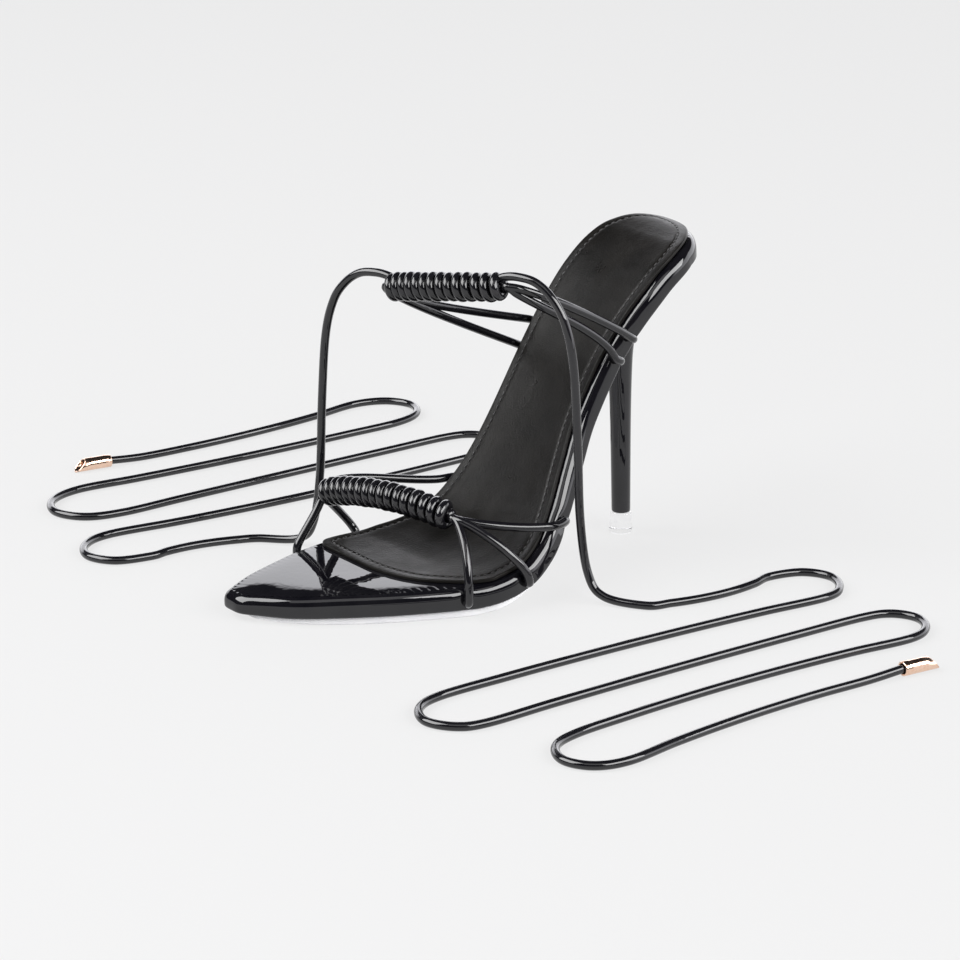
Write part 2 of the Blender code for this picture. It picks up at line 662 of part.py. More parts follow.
def make_tie_tip(name, route, material):
    """A metal sleeve on the end of a tie, open at both ends and cut slanting."""
    end = route[-1]
    direction = (end - route[-2]).normalized()
    start = end - direction * TIP_GRIP
    turn = direction.to_track_quat("Z", "Y").to_matrix().to_4x4()
    mesh = bpy.data.meshes.new(name)
    body = bmesh.new()
    bmesh.ops.create_cone(body, cap_ends=True, segments=16, radius1=TIP_RADIUS, radius2=TIP_RADIUS,
                          depth=TIP_LENGTH, matrix=Matrix.Translation((0, 0, TIP_LENGTH / 2)))
    body.to_mesh(mesh)
    body.free()
    tip = add_mesh(name, mesh, material)
    bore_mesh = bpy.data.meshes.new(name + "_bore")
    body = bmesh.new()
    bmesh.ops.create_cone(body, cap_ends=True, segments=16, radius1=CORD_RADIUS + CLEARANCE,
                          radius2=CORD_RADIUS + CLEARANCE, depth=TIP_LENGTH * 1.4,
                          matrix=Matrix.Translation((0, 0, TIP_LENGTH / 2)))
    body.to_mesh(bore_mesh)
    body.free()
    slant_mesh = bpy.data.meshes.new(name + "_slant")
    body = bmesh.new()
    slant = math.atan2(TIP_LENGTH - TIP_SHORT_SIDE, 2 * TIP_RADIUS)
    middle = (TIP_LENGTH + TIP_SHORT_SIDE) / 2
    size = 4 * TIP_LENGTH
    place = (Matrix.Translation((0, 0, middle)) @ Matrix.Rotation(-slant, 4, "X")
             @ Matrix.Translation((0, 0, size / 2)) @ Matrix.Scale(size, 4))
    bmesh.ops.create_cube(body, size=1.0, matrix=place)
    body.to_mesh(slant_mesh)
    body.free()
    for tool_name, tool_mesh in ((name + "_bore", bore_mesh), (name + "_slant", slant_mesh)):
        tool = cutter(tool_name, tool_mesh)
        tool.matrix_world = Matrix.Translation(start) @ turn
        join_with(tip, tool, "DIFFERENCE")
    tip.matrix_world = Matrix.Translation(start) @ turn
    return tip


for item in list(bpy.data.objects):
    bpy.data.objects.remove(item, do_unlink=True)

sandal = bpy.data.collections.new("lace_up_sandal")
cutters = bpy.data.collections.new("cutters")
bpy.context.scene.collection.children.link(sandal)
bpy.context.scene.collection.children.link(cutters)

patent = new_material("black_patent", (0.012, 0.012, 0.013), 0.12)
cord_black = new_material("black_glossy_cord", (0.012, 0.012, 0.013), 0.20)
lining = new_material("dark_lining", (0.040, 0.034, 0.031), 0.45)
white_sole = new_material("white_outsole", (0.80, 0.80, 0.80), 0.55)
clear_tip = new_material("clear_heel_tip", (0.88, 0.88, 0.87), 0.30, 0.0, 0.5)
rose_gold = new_material("rose_gold_metal", (0.82, 0.58, 0.46), 0.22, 1.0)

toe = (TOE_WRAP_ROWS, TOE_WRAP_HEIGHT)
instep = (INSTEP_WRAP_ROWS, INSTEP_WRAP_HEIGHT)
make_platform(patent)
make_sock(lining)
make_outsole(white_sole)
make_heel(patent)
make_heel_tip(clear_tip)
make_strap_cords("toe_cords", toe, TOE_LEGS, cord_black)
make_wrap("toe_wrap", toe, cord_black)
make_strap_cords("instep_cords", instep, INSTEP_LEGS, cord_black)
make_wrap("instep_wrap", instep, cord_black)
for side_name, side, lanes in (("lateral", 1, LANES_LATERAL), ("medial", -1, LANES_MEDIAL)):
    route = tie_route(side, lanes)
    make_tie("tie_" + side_name, route, cord_black)
    make_tie_tip("tie_tip_" + side_name, route, rose_gold)
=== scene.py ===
"""Looks of the lace-up stiletto sandal: patent sole and heel, lining, wound straps and free ties."""
import math

import bmesh
import bpy
import numpy as np
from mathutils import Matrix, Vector


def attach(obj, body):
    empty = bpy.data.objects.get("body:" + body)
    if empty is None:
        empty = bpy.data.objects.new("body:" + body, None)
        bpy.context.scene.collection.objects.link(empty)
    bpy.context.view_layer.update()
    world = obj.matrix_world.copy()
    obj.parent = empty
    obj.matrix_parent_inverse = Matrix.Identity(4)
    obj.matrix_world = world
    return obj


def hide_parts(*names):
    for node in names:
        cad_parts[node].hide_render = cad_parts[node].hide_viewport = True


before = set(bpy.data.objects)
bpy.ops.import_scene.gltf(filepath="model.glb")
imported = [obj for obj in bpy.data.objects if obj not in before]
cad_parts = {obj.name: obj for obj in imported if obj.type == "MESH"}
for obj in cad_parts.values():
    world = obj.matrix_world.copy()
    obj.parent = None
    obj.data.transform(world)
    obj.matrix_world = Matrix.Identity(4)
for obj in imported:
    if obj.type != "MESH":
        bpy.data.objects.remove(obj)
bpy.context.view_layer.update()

# Sizes of the shoe, in metres, as its solids have them
SHOE_LENGTH = 0.1975
BALL_WIDTH = 0.0756
SEAT_RISE = 0.1065
CLEARANCE = 0.0003

PLATFORM_THICKNESS = 0.0086
OUTSOLE_THICKNESS = 0.0026
OUTSOLE_INSET = 0.0004
OUTSOLE_BEVEL = 0.0007
SOCK_THICKNESS = 0.0012
SOCK_INSET = 0.0033
SOCK_RIM = 0.0005
EDGE_ROUND = 0.0026
EDGE_DROP = 0.0044
UNDER_ROUND = 0.0012
SEAT_SKEW = 0.0060

HEEL_SETBACK = 0.02844
HEEL_LEAN = 0.0022
HEEL_TOP_HALF = 0.0170
HEEL_TOP_BACK = 0.0270
HEEL_TOP_FRONT = 0.0140
HEEL_BASE_RADIUS = 0.0036
HEEL_FOOT_ROUND = 0.0005
HEEL_TIP_HEIGHT = 0.0080
HEEL_TIP_RADIUS = 0.0045
HEEL_TIP_TOP = 0.0039
HEEL_TIP_BEVEL = 0.0005

CORD_RADIUS = 0.0016
WALL_GAP = 0.00012
TUCK_DEPTH = 0.0024
WRAP_RADIUS = 0.0055
TOE_WRAP_HEIGHT = 0.0237
INSTEP_WRAP_HEIGHT = 0.0966
LEG_START = 0.0027
TIE_START = 0.0009

TIP_RADIUS = 0.0026
TIP_LENGTH = 0.0155
TIP_SHORT_SIDE = 0.0108
TIP_GRIP = 0.0070
TIP_WALL = 0.0006
TIP_LIP = 0.00021
FLOOR_GAP = 0.0002

# Stitching on the sock, in its shallow groove: how high the thread lies as a share of the groove's
# depth, how deep a stitch's ends dive in radii of the thread, and how much thinner they get
STITCH_INSET = 0.0034
STITCH_LENGTH = 0.0017
STITCH_STEP = 0.0028
STITCH_RADIUS = 0.00030
STITCH_GROOVE = 0.00025
GROOVE_HALF = 0.0009
STITCH_LIE = 0.6
STITCH_DIVE = 1.3
STITCH_TAPER = 0.8

# The photograph's camera: where it stands, what the picture's middle is on, and its lens
CAMERA_PLACE = (0.9284, -0.7264, 0.4552)
CAMERA_TARGET = (0.0010, 0.0010, 0.0360)
CAMERA_LENS = 127.5

# Centre line of each wrap, at its medial end, crown and lateral end: station, distance from the
# middle as a share of BALL_WIDTH, and height over the platform as a share of the wrap's height
TOE_WRAP_ROWS = ((0.709, -0.477, 0.80), (0.678, -0.125, 1.00), (0.642, 0.258, 0.93))
INSTEP_WRAP_ROWS = ((0.602, -0.315, 0.990), (0.557, -0.044, 1.000), (0.510, 0.230, 0.984))

# Height of the platform's top over the forefoot: station, share of SEAT_RISE
RISE_ROWS = (
    (0.00, 0.990), (0.05, 1.000), (0.10, 0.984), (0.15, 0.940), (0.20, 0.864), (0.25, 0.757),
    (0.30, 0.626), (0.35, 0.478), (0.40, 0.324), (0.45, 0.182), (0.50, 0.084), (0.55, 0.034),
    (0.60, 0.011), (0.65, 0.000), (0.84, 0.000), (0.92, -0.001), (1.00, -0.008),
)
# Thickness of the platform, square to its top: station, share of PLATFORM_THICKNESS
THICKNESS_ROWS = (
    (0.00, 0.86), (0.28, 0.88), (0.48, 0.94), (0.63, 1.00), (0.85, 1.00), (0.94, 0.98), (1.00, 0.90),
)
# Thickness of the outsole: station, share of OUTSOLE_THICKNESS
SOLE_ROWS = (
    (0.20, 0.45), (0.50, 0.50), (0.61, 0.98), (0.65, 1.00), (0.84, 1.00), (0.94, 0.66), (1.00, 0.40),
)
# Share of the outsole's thickness that stands upright, over its bevelled lower edge
SOLE_WALL = 0.75
# Plan outline, from the end of the seat's round back to the tip, whose last two rows are its blunt
# end: station, lateral and medial distance from the middle as shares of BALL_WIDTH
OUTLINE_ROWS = (
    (0.160, 0.378, 0.317), (0.200, 0.376, 0.320), (0.250, 0.353, 0.319), (0.300, 0.339, 0.317),
    (0.350, 0.344, 0.316), (0.400, 0.392, 0.325), (0.450, 0.454, 0.357), (0.500, 0.513, 0.394),
    (0.550, 0.540, 0.433), (0.600, 0.529, 0.474), (0.650, 0.481, 0.499), (0.700, 0.423, 0.504),
    (0.780, 0.320, 0.480), (0.860, 0.193, 0.423), (0.940, 0.038, 0.359), (0.985, -0.112, 0.309),
    (0.995, -0.146, 0.298), (1.000, -0.172, 0.275),
)
# The sock's front edge: station, lateral and medial distance as shares of BALL_WIDTH
SOCK_FRONT_ROWS = (
    (0.605, 0.495, 0.437), (0.632, 0.447, 0.446), (0.678, 0.341, 0.458), (0.702, 0.272, 0.463),
    (0.720, 0.190, 0.462), (0.732, 0.100, 0.448), (0.741, -0.030, 0.395),
)

# Heel sections: drop from the seat as a share of the heel's height, then the share of the way from
# the radius at the tip to the size at the seat, for the half width, the back and the front, the
# squareness of the section, and how far it follows the slope of the platform over it; the flare
# ends at HEEL_FLARE_ROW
HEEL_ROWS = (
    (0.00, 1.00, 1.00, 1.00, 2.6, 1.00), (0.05, 0.63, 0.77, 0.79, 2.4, 0.77),
    (0.12, 0.31, 0.42, 0.52, 2.3, 0.45), (0.22, 0.12, 0.15, 0.29, 2.2, 0.00),
    (0.36, 0.05, 0.05, 0.14, 2.1, 0.00), (0.60, 0.02, 0.02, 0.05, 2.0, 0.00),
    (1.00, 0.00, 0.00, 0.00, 2.0, 0.00),
)
HEEL_FLARE_ROW = 4

# Strap legs: side (1 is lateral, -1 medial), station of the anchor, the two handles of the curve to
# it in cord radii, at the wrap outward, back and up, then at the wall the same, and how the leg
# meets the wall, as in TUCK_STARTS
TOE_LEGS = (
    (1, 0.660, 2.5, 0.0, -0.5, 0.0, 0.0, 7.0, "over"),
    (1, 0.552, 4.5, 0.0, 1.0, 0.0, -2.0, 4.5, "over"),
    (1, 0.456, 4.0, 2.0, -0.5, 4.0, -6.0, -0.5, "along"),
    (-1, 0.773, 0.0, 0.0, -3.5, 0.0, 0.0, 2.0, "over"),
    (-1, 0.637, 1.5, 1.5, -2.0, 3.5, 0.0, 3.0, "over"),
    (-1, 0.458, 2.0, 4.0, 6.0, 2.0, -10.0, -1.0, "along"),
)
INSTEP_LEGS = (
    (1, 0.258, 5.0, 0.0, 0.0, 0.0, -8.0, 5.5, "over"),
    (1, 0.286, 3.6, 0.0, -3.5, 0.0, -4.2, 8.0, "over"),
    (-1, 0.278, 1.7, 2.0, -4.3, 0.0, -5.9, 1.9, "near"),
    (-1, 0.308, 1.5, 2.0, -3.0, 0.0, -8.0, 4.0, "near"),
)
# A leg's end beside the platform's wall: share of the wall's height down, and distance out as a
# share of the cord's own distance; then it turns into the wall at TUCK_SHARE of its height
TUCK_ROWS = ((0.14, 1.00), (0.36, 1.05), (0.56, 0.90), (0.64, 0.20))
TUCK_SHARE = 0.66
# The row of TUCK_ROWS at which a leg meets the wall
TUCK_STARTS = {"over": 0, "near": 1, "along": 2}

# Fall of a tie from its wrap to the floor: distance out along the wrap's own line as a share of
# SHOE_LENGTH, and height as a share of the height that it starts at
TIE_FALL_ROWS = (
    (0.000, 1.000), (0.028, 1.006), (0.064, 0.996), (0.096, 0.955), (0.122, 0.885), (0.140, 0.760),
    (0.150, 0.530), (0.157, 0.270), (0.174, 0.095), (0.208, 0.028),
)
# Lanes of a tie on the floor, each run turning into the next: distance to the side at its start,
# middle and end, and place along the shoe at its start and end, all as shares of SHOE_LENGTH
LANES_LATERAL = (
    (0.347, 0.388, 0.378, 0.122, 0.400), (0.520, 0.470, 0.446, 0.410, -0.425),
    (0.586, 0.602, 0.632, -0.435, 0.390), (0.758, 0.716, 0.712, 0.390, -0.345),
    (0.850, 0.835, 0.862, -0.345, 0.305),
)
LANES_MEDIAL = (
    (0.379, 0.420, 0.424, -0.236, -0.450), (0.574, 0.520, 0.504, -0.450, 0.410),
    (0.634, 0.650, 0.662, 0.410, -0.360), (0.830, 0.790, 0.772, -0.360, 0.390),
    (0.928, 0.905, 0.935, 0.390, -0.258),
)
TIE_LENGTH = 1.000
# Points of a lane and of the turn after it, and how far a turn bulges in shares of its half width
LANE_STEPS = 6
TURN_STEPS = 4
TURN_REACH = 1.25
# Where a cord starts inside its wrap, in cord radii: back from where it comes out, and down for a tie
HIDDEN_BACK = 2
HIDDEN_DROP = 0.8

# Windings: full turns, how much further apart they lie at the lateral end, how much fatter their
# cord gets along the wrap, and the share of the wrap at which it has the cord's own radius
TOE_TURNS = 16
INSTEP_TURNS = 13
TURN_SPREAD = 0.24
TURN_FATTER = 0.12
TURN_OWN_RADIUS = 0.2
# The turn that closes each end: its share of a full turn, the eye that it leaves, how late it draws
# in, how far it goes past the last turn, and the share of that which is kept free for it
KNOB_TURNS = 0.80
KNOB_EYE = 0.0007
KNOB_CURVE = 1.3
KNOB_ADVANCE = 0.0011
KNOB_ROOM = 0.9
# Unevenness of the turns' angle and reach, as waves: size, pace and start
ANGLE_WAVES = ((0.10, 0.43, 0.4), (0.06, 0.27, 0.0))
REACH_WAVES = ((0.03, 0.31, 1.0),)
# Domed ends of a cord: how far they stand out and how wide they end, in its radii
DOME_HEIGHT = 0.25
DOME_WIDTH = 0.7

# How far the platform's top falls towards its edge and over what width, and how far the pointed toe
# droops and from what station
CROWN = 0.00040
CROWN_WIDTH = 0.0036
TOE_FALL = 0.0009
TOE_FALL_START = 0.82

# Dimples in the platform's wall where the cords go in
DIMPLE_DEPTH = 0.0007
DIMPLE_RADIUS = 0.0021

# How dished the lining looks across the foot: height over the distance squared, per metre
LINING_DISH = 2.2
# Over what width the corners of each outline are softened, and those of one that is drawn in
PLATFORM_CORNER = 0.0011
SOCK_CORNER = 0.0012
OUTSOLE_CORNER = 0.0010
INSET_CORNER = 0.0004
INSET_GROWTH = 0.55
# Stations left out before the sock's front edge, so that its sides run into it smoothly
SOCK_JOIN = 0.01
# Share by which the outsole's sheet is drawn in along the arch, and where that starts and is full
SOLE_DRAWN_IN = 0.06
SOLE_DRAWN_FROM = 0.60
SOLE_DRAWN_FULL = 0.50

# Two colours for each material to wander between
PATENT_BLACKS = ((0.0028, 0.0027, 0.0040), (0.0052, 0.0050, 0.0064))
LINING_BLACKS = ((0.0038, 0.0035, 0.0032), (0.0082, 0.0074, 0.0066))
THREAD_BLACKS = ((0.004, 0.004, 0.005), (0.014, 0.013, 0.013))
SOLE_WHITES = ((0.64, 0.64, 0.66), (0.69, 0.69, 0.70))
CLEAR_TINTS = ((0.95, 0.95, 0.96), (1.0, 1.0, 1.0))
ROSE_GOLDS = ((0.83, 0.56, 0.42), (0.90, 0.66, 0.52))
FLOOR_GREYS = ((0.080, 0.080, 0.081), (0.083, 0.083, 0.084))
FLOOR_GLOWS = ((0.722, 0.722, 0.722), (0.727, 0.727, 0.727))

# The studio's floor, and the dark world with a pale backdrop: its direction, how soon it is full to
# the sides, the heights between which it fades out, and the share and the fade of a low ring all round
FLOOR_RADIUS = 14.0
FLOOR_SIDES = 96
WORLD_TONES = ((0.010, 0.010, 0.011), (0.96, 0.96, 1.0))
WORLD_GLOW = 2.5
BACKDROP_WAY = (-0.35, 0.94, 0.0)
BACKDROP_FULL = 0.25
BACKDROP_FADE = (0.41, 0.44)
RING_SHARE = 0.36
RING_FADE = (0.02, 0.06)
# Soft lights: name, place, what they point at, width and height, and brightness
SOFTBOXES = (
    ("key", (-0.50, -1.25, 1.25), (0.0, 0.0, 0.05), (1.7, 1.4), 8.0),
    ("right", (1.55, 0.45, 1.05), (0.0, 0.0, 0.05), (1.9, 0.9), 9.0),
    ("front_fill", (1.15, -0.90, 1.90), (0.0, 0.0, 0.0), (1.6, 1.2), 1.1),
)

# How finely the pieces are made: outlines and sheets, sides of what is round, steps of rounded
# edges, and sections of the heel with the passes that smooth them
OUTLINE_POINTS = 640
OUTLINE_STATIONS = 900
COLUMNS_ACROSS = 28
RIM_STRIDE = 4
CORD_SIDES = 24
WINDING_SIDES = 20
THREAD_SIDES = 8
ROUND_SIDES = 64
HEEL_SIDES = 96
EDGE_ARC = 14
UNDER_ARC = 6
SHEET_ARC = 5
FOOT_ARC = 4
GROOVE_RINGS = 9
FLARE_SECTIONS = 60
SHAFT_SECTIONS = 30
HEEL_SMOOTHINGS = 6
# Length of a cord's step, and points of a core, a measured line, a leg's span, a stretch of a route,
# a turn, and a stitch with its gap
CORD_STEP = 0.0008
CORE_POINTS = 60
LINE_POINTS = 400
SPAN_POINTS = 8
ROUTE_PARTS = 24
TURN_POINTS = 44
STITCH_POINTS = 12
# Rounds of the search for a place over the underside, metres within which points are merged, and
# the sine of the angle to the vertical under which a line is upright
SEARCH_ROUNDS = 16
MERGE_DISTANCE = 0.0000005
UPRIGHT = 0.1
# Degrees over which an edge looks sharp
SHARP_ANGLE = 50.0
METAL_SHARP_ANGLE = 60.0

# Stations at which tables are read, and what follows from the sizes
SAMPLES = np.linspace(0.0, 1.0, 1601)
SEAT_CAP = OUTLINE_ROWS[0][0]
HEEL_MIDDLE = SHOE_LENGTH / 2 - HEEL_SETBACK
INSTEP_WRAP = (INSTEP_WRAP_ROWS, INSTEP_WRAP_HEIGHT)
# The straps: name, centre line and height of the wrap, legs and turns
STRAPS = (
    ("toe", (TOE_WRAP_ROWS, TOE_WRAP_HEIGHT), TOE_LEGS, TOE_TURNS),
    ("instep", INSTEP_WRAP, INSTEP_LEGS, INSTEP_TURNS),
)


# Objects and the camera
def add_object(name, data):
    item = bpy.data.objects.new(name, data)
    bpy.context.scene.collection.objects.link(item)
    return item


def aim(item, place, target):
    """Puts a camera or light in its place, pointing at a target."""
    item.location = place
    item.rotation_euler = (Vector(target) - Vector(place)).to_track_quat("-Z", "Y").to_euler()


def make_camera():
    data = bpy.data.cameras.new("camera")
    data.lens = CAMERA_LENS
    camera = add_object("camera", data)
    aim(camera, CAMERA_PLACE, CAMERA_TARGET)
    bpy.context.scene.camera = camera


# Node material helpers
def add_node(tree, kind, **values):
    node = tree.nodes.new(kind)
    for key, value in values.items():
        if key in node.inputs:
            node.inputs[key].default_value = value
        else:
            setattr(node, key, value)
    return node


def noise(tree, scale, detail=3.0, roughness=0.5, distortion=0.0, stretch=None):
    """A noise texture in the object's own coordinates, stretched along the axes if asked."""
    place = tree.nodes.new("ShaderNodeTexCoord")
    source = place.outputs["Object"]
    if stretch:
        mapping = tree.nodes.new("ShaderNodeMapping")
        mapping.inputs["Scale"].default_value = stretch
        tree.links.new(source, mapping.inputs["Vector"])
        source = mapping.outputs["Vector"]
    texture = add_node(tree, "ShaderNodeTexNoise", Scale=scale, Detail=detail, Roughness=roughness,
                       Distortion=distortion)
    tree.links.new(source, texture.inputs["Vector"])
    return texture.outputs["Fac"]


def mapped(tree, value, low, high, start=0.3, end=0.7):
    """A value mapped from start..end to low..high."""
    node = add_node(tree, "ShaderNodeMapRange", **{"From Min": start, "From Max": end, "To Min": low,
                                                   "To Max": high})
    tree.links.new(value, node.inputs["Value"])
    return node.outputs["Result"]


def two_colours(tree, value, first, second, start=0.35, end=0.65):
    """A colour that goes from the first to the second as a value goes from start to end."""
    ramp = tree.nodes.new("ShaderNodeValToRGB")
    for element, position, colour in zip(ramp.color_ramp.elements, (start, end), (first, second)):
        element.position = position
        element.color = (*colour, 1.0)
    tree.links.new(value, ramp.inputs["Fac"])
    return ramp.outputs["Color"]


def two_values(tree, operation, first, second):
    """Two values joined by an operation of the maths node."""
    node = add_node(tree, "ShaderNodeMath", operation=operation)
    tree.links.new(first, node.inputs[0])
    tree.links.new(second, node.inputs[1])
    return node.outputs[0]


def bump_chain(tree, shader, layers):
    """Bump layers of (height value, distance in metres, strength), one on top of the other."""
    previous = None
    for value, distance, strength in layers:
        bump = add_node(tree, "ShaderNodeBump", Strength=strength, Distance=distance)
        tree.links.new(value, bump.inputs["Height"])
        if previous:
            tree.links.new(previous, bump.inputs["Normal"])
        previous = bump.outputs["Normal"]
    tree.links.new(previous, shader.inputs["Normal"])
    return previous


def new_material(name, **values):
    """A material whose shader's sockets have the given values, underscores for the spaces in a name."""
    material = bpy.data.materials.new(name)
    material.use_nodes = True
    shader = material.node_tree.nodes["Principled BSDF"]
    for key, value in values.items():
        shader.inputs[key.replace("_", " ")].default_value = value
    return material, material.node_tree, shader


def paint(tree, shader, tone, colours, roughness, rough_tone=None):
    """Base colour and roughness that wander with a tone, or the roughness with one of its own."""
    tree.links.new(two_colours(tree, tone, *colours), shader.inputs["Base Color"])
    rough_tone = tone if rough_tone is None else rough_tone
    tree.links.new(mapped(tree, rough_tone, *roughness), shader.inputs["Roughness"])


def make_patent(name, ripple, peel, coat_roughness, under_coat):
    """Black patent leather: a clear coat over smooth leather, with slow ripples and a fine peel."""
    material, tree, shader = new_material(name, Coat_Weight=1.0, Coat_Roughness=coat_roughness,
                                          Coat_IOR=1.55, Specular_IOR_Level=under_coat)
    paint(tree, shader, noise(tree, 90.0, 4.0), PATENT_BLACKS, (0.28, 0.40), noise(tree, 260.0, 5.0))
    normal = bump_chain(tree, shader, (
        (noise(tree, 110.0, 1.5, 0.35), 0.0010, ripple),
        (noise(tree, 360.0, 1.0, 0.35), 0.0005, peel),
    ))
    tree.links.new(normal, shader.inputs["Coat Normal"])
    return material


def make_lining():
    """Dark supple leather with a fine pebbled grain, soft creases along the foot and rubbed patches."""
    material, tree, shader = new_material("dark_lining", Specular_IOR_Level=0.12)
    paint(tree, shader, noise(tree, 45.0, 5.0, 0.6, 0.4), LINING_BLACKS, (0.27, 0.42),
          noise(tree, 70.0, 4.0, 0.6, 0.6))
    cells = add_node(tree, "ShaderNodeTexVoronoi", Scale=1500.0)
    place = tree.nodes.new("ShaderNodeTexCoord")
    tree.links.new(place.outputs["Object"], cells.inputs["Vector"])
    split = tree.nodes.new("ShaderNodeSeparateXYZ")
    tree.links.new(place.outputs["Object"], split.inputs[0])
    dish = two_values(tree, "MULTIPLY", split.outputs["X"], split.outputs["X"])
    bump_chain(tree, shader, (
        (dish, LINING_DISH, 1.0),
        (noise(tree, 1.0, 2.0, 0.5, 0.3, (75.0, 12.0, 12.0)), 0.0022, 0.06),
        (noise(tree, 170.0, 3.0, 0.5, 0.3), 0.0010, 0.10),
        (cells.outputs["Distance"], 0.00010, 0.45),
        (noise(tree, 3800.0, 2.0), 0.00004, 0.45),
    ))
    return material


def make_plain(name, colours, tone, roughness, relief, **values):
    """A material with one noise as its tone, and a relief of (scale, detail, distance, strength)."""
    material, tree, shader = new_material(name, **values)
    paint(tree, shader, noise(tree, *tone), colours, roughness)
    bump_chain(tree, shader, ((noise(tree, *relief[:2]), *relief[2:]),))
    return material


# Curves and outlines
def smooth_rows(rows, station, column):
    """Value of a table's column at a station, through a curve that keeps flat runs flat."""
    stations = np.array([row[0] for row in rows])
    values = np.array([row[column] for row in rows])
    steps = np.diff(stations)
    slopes = np.diff(values) / steps
    tangents = np.zeros(len(rows))
    for index in range(1, len(rows) - 1):
        before, after = slopes[index - 1], slopes[index]
        if before * after > 0:
            weight_a = 2 * steps[index] + steps[index - 1]
            weight_b = steps[index] + 2 * steps[index - 1]
            tangents[index] = (weight_a + weight_b) / (weight_a / before + weight_b / after)
    tangents[0], tangents[-1] = slopes[0], slopes[-1]
    station = min(max(station, stations[0]), stations[-1])
    index = min(int(np.searchsorted(stations, station, side="right")) - 1, len(rows) - 2)
    share = (station - stations[index]) / steps[index]
    start = (1 + 2 * share) * (1 - share) ** 2 * values[index]
    start += share * (1 - share) ** 2 * steps[index] * tangents[index]
    end = share ** 2 * (3 - 2 * share) * values[index + 1]
    end += share ** 2 * (share - 1) * steps[index] * tangents[index + 1]
    return float(start + end)


def table_curve(rows, column):
    """A table's column as a function that takes many stations at once."""
    values = np.array([smooth_rows(rows, station, column) for station in SAMPLES])
    return lambda station: np.interp(station, SAMPLES, values)


rise = table_curve(RISE_ROWS, 1)
thickness_share = table_curve(THICKNESS_ROWS, 1)
sole_share = table_curve(SOLE_ROWS, 1)
outline_share = {1: table_curve(OUTLINE_ROWS, 1), -1: table_curve(OUTLINE_ROWS, 2)}
sock_front_share = {1: table_curve(SOCK_FRONT_ROWS, 1), -1: table_curve(SOCK_FRONT_ROWS, 2)}


def along(station):
    return SHOE_LENGTH * (0.5 - station)


def station_at(y):
    return 0.5 - y / SHOE_LENGTH


def top_height(y):
    return OUTSOLE_THICKNESS + CLEARANCE + PLATFORM_THICKNESS + SEAT_RISE * rise(station_at(y))


def top_slope(y):
    step = 0.0006
    return (top_height(y + step) - top_height(y - step)) / (2 * step)


def platform_thickness(y):
    return PLATFORM_THICKNESS * thickness_share(station_at(y))


def outsole_thickness(y):
    return OUTSOLE_THICKNESS * sole_share(station_at(y))


def on_platform(x, y, depth):
    """Places on the platform's top at plan points, sunk square to it by a depth."""
    slope = top_slope(y)
    size = np.sqrt(1.0 + slope ** 2)
    return np.stack([x + 0 * y, y + depth * slope / size, top_height(y) - depth / size], axis=-1)


def top_normal(y):
    slope = top_slope(y)
    return Vector((0.0, -slope, 1.0)).normalized()


def round_seat(width, share, side):
    """A half width drawn in round the back of the seat, whose end lies to the medial side."""
    end = -side * SEAT_SKEW
    round_part = end + (width - end) * np.sqrt(np.clip(1.0 - (1.0 - share) ** 2, 0.0, 1.0))
    return np.where(share >= 1.0, width, round_part)


def half_width(station, side):
    """Distance from the middle to the outline on one side: 1 is lateral, -1 medial."""
    width = BALL_WIDTH * outline_share[side](np.maximum(station, SEAT_CAP))
    return round_seat(width, station / SEAT_CAP, side)


def sock_width(station, side):
    back = SOCK_INSET / SHOE_LENGTH
    full = half_width(np.maximum(station, SEAT_CAP), side) - SOCK_INSET
    behind = round_seat(full, (station - back) / (SEAT_CAP - back), side)
    return np.where(station >= SOCK_FRONT_ROWS[0][0], BALL_WIDTH * sock_front_share[side](station), behind)


def step_lengths(points):
    return np.linalg.norm(np.diff(points, axis=0), axis=1)


def read_along(targets, lengths, points):
    """Points of a line at target lengths, from the lengths at which its own points lie."""
    return np.stack([np.interp(targets, lengths, column) for column in points.T], axis=1)


def resample(points, count):
    """Evenly spaced points along a line of points, both ends included."""
    lengths = np.concatenate([[0.0], np.cumsum(step_lengths(points))])
    return read_along(np.linspace(0.0, lengths[-1], count), lengths, points)


def full_circle(count):
    """Angles once round a circle, the first not repeated."""
    return np.linspace(0.0, 2 * math.pi, count, endpoint=False)


def soften(loop, width):
    """A closed line of points with its corners rounded off over a width."""
    spacing = np.linalg.norm(loop - np.roll(loop, 1, axis=0), axis=1).mean()
    reach = int(3 * width / spacing) + 1
    offsets = np.arange(-reach, reach + 1)
    weights = np.exp(-0.5 * (offsets * spacing / width) ** 2)
    weights /= weights.sum()
    return sum(weight * np.roll(loop, offset, axis=0) for weight, offset in zip(weights, offsets))


def plan_loop(stations, width, softness):
    """Closed plan outline from the back's middle round the lateral side to the front and back again."""
    lateral, medial = [np.stack([side * width(stations, side), along(stations)], axis=1)
                       for side in (1, -1)]
    back = (lateral[0] + medial[0]) / 2
    front = (lateral[-1] + medial[-1]) / 2
    half = OUTLINE_POINTS // 2
    first = resample(np.vstack([back, lateral, front]), half + 1)
    second = resample(np.vstack([back, medial, front]), half + 1)
    loop = np.vstack([first, second[-2:0:-1]])
    soft = soften(loop, softness)
    share = (soft - soft.min(axis=0)) / np.ptp(soft, axis=0)
    return loop.min(axis=0) + share * np.ptp(loop, axis=0)


def inset_loop(loop, distance):
    """The outline drawn in by a distance, with its corners rounded more the further in it lies."""
    if distance <= 0.0:
        return loop
    soft = soften(loop, INSET_CORNER + INSET_GROWTH * distance)
    forward = np.roll(soft, -1, axis=0) - np.roll(soft, 1, axis=0)
    forward /= np.linalg.norm(forward, axis=1)[:, None]
    return soft + np.stack([forward[:, 1], -forward[:, 0]], axis=1) * distance


